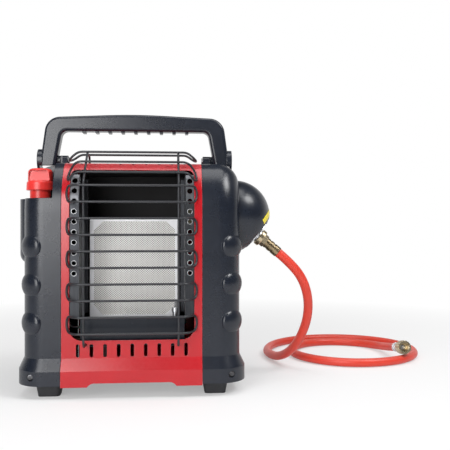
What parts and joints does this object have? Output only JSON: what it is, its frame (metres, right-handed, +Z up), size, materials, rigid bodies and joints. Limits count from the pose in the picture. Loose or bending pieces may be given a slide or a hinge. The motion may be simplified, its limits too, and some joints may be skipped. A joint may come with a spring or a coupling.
{
  "type": "portable propane heater",
  "caption": "Portable propane heater: radiant tile burner behind a wire guard, red steel case between moulded sides, folding handle, gas knob, swivel regulator and supply hose.",
  "frame": {"origin": "on the floor, under the middle of the heater's own box, the free hose left out", "axes": "+X to the right seen from the front, towards the regulator; +Y to the rear; +Z up"},
  "size_m": [0.6305, 0.414, 0.381],
  "materials": {
    "red_panel": "glossy red powder coat",
    "case_plastic": "fine moulded texture, satin blue grey black",
    "black_steel": "black heat proof paint",
    "plain_steel": "plain pressed steel",
    "screw_steel": "dark zinc",
    "foot_rubber": "matt black rubber",
    "guard_wire": "satin black coated wire",
    "dark_reflector": "heat darkened steel with bright cut edges",
    "bright_steel": "bright folded steel",
    "tile_ceramic": "off white perforated ceramic",
    "white_ceramic": "white glazed insulator",
    "brass": "turned brass, slightly dulled",
    "valve_aluminium": "cast and machined aluminium",
    "tube_metal": "drawn tube",
    "knob_red": "satin coral red",
    "black_part": "black moulded part",
    "hose_rubber": "orange red rubber hose",
    "ferrule_steel": "plated crimped sleeve"
  },
  "bodies": {
    "case": {"front_panel": "red_panel", "rear_panel": "red_panel", "left_housing": "case_plastic", "right_housing": "case_plastic", "base_pan": "black_steel", "burner_box": "black_steel", "lower_plate": "black_steel", "valve_bracket": "plain_steel", "orifice_bracket": "plain_steel", "skirt_screws": "screw_steel", "foot_screws": "screw_steel", "rear_screws": "screw_steel", "handle_pins": "screw_steel", "foot_front_left": "foot_rubber", "foot_front_right": "foot_rubber", "foot_rear_left": "foot_rubber", "foot_rear_right": "foot_rubber", "wire_guard": "guard_wire", "left_reflector": "dark_reflector", "right_reflector": "dark_reflector", "burner_frame": "bright_steel", "ceramic_tile": "tile_ceramic", "burner_plenum": "plain_steel", "mixing_tube": "plain_steel", "main_orifice": "brass", "pilot_burner": "bright_steel", "thermocouple": "plain_steel", "igniter_electrode": "white_ceramic", "gas_valve": "valve_aluminium", "knob_spring": "plain_steel", "piezo_igniter": "black_part", "tip_over_switch": "black_part", "swivel_fitting": "brass", "supply_tube": "tube_metal", "burner_tube": "tube_metal", "pilot_tube": "tube_metal", "gas_hose": "hose_rubber", "end_ferrule": "ferrule_steel"},
    "handle": {"handle": "case_plastic"},
    "stem": {"valve_stem": "plain_steel"},
    "knob": {"knob": "knob_red"},
    "regulator": {"regulator_cover": "case_plastic", "regulator_body": "valve_aluminium", "inlet_plate": "valve_aluminium", "hose_nut": "brass", "hose_ferrule": "brass"},
    "bottle_nut": {"bottle_nut": "brass"}
  },
  "joints": [
    {"name": "handle_fold", "type": "hinge", "parent": "case", "child": "handle", "pos_m": [-0.02616, 0.02449, 0.316], "axis": [-1, 0, 0], "range_deg": [0, 90]},
    {"name": "knob_push", "type": "slide", "parent": "case", "child": "stem", "axis": [0, 0, -1], "range_m": [0, 0.004], "stiffness_N_per_m": 3000, "deforming": ["knob_spring"]},
    {"name": "knob_turn", "type": "hinge", "parent": "stem", "child": "knob", "pos_m": [-0.15516, -0.00751, 0.259], "axis": [0, 0, 1], "range_deg": [0, 200]},
    {"name": "regulator_swivel", "type": "hinge", "parent": "case", "child": "regulator", "pos_m": [0.11434, 0.00449, 0.2375], "axis": [1, 0, 0], "range_deg": [0, 90], "deforming": ["gas_hose"]},
    {"name": "bottle_nut_spin", "type": "hinge", "parent": "case", "child": "bottle_nut", "pos_m": [0.3988, 0.10275, 0.02663], "axis": [0.0123, -0.985, 0.1724], "continuous": true}
  ]
}
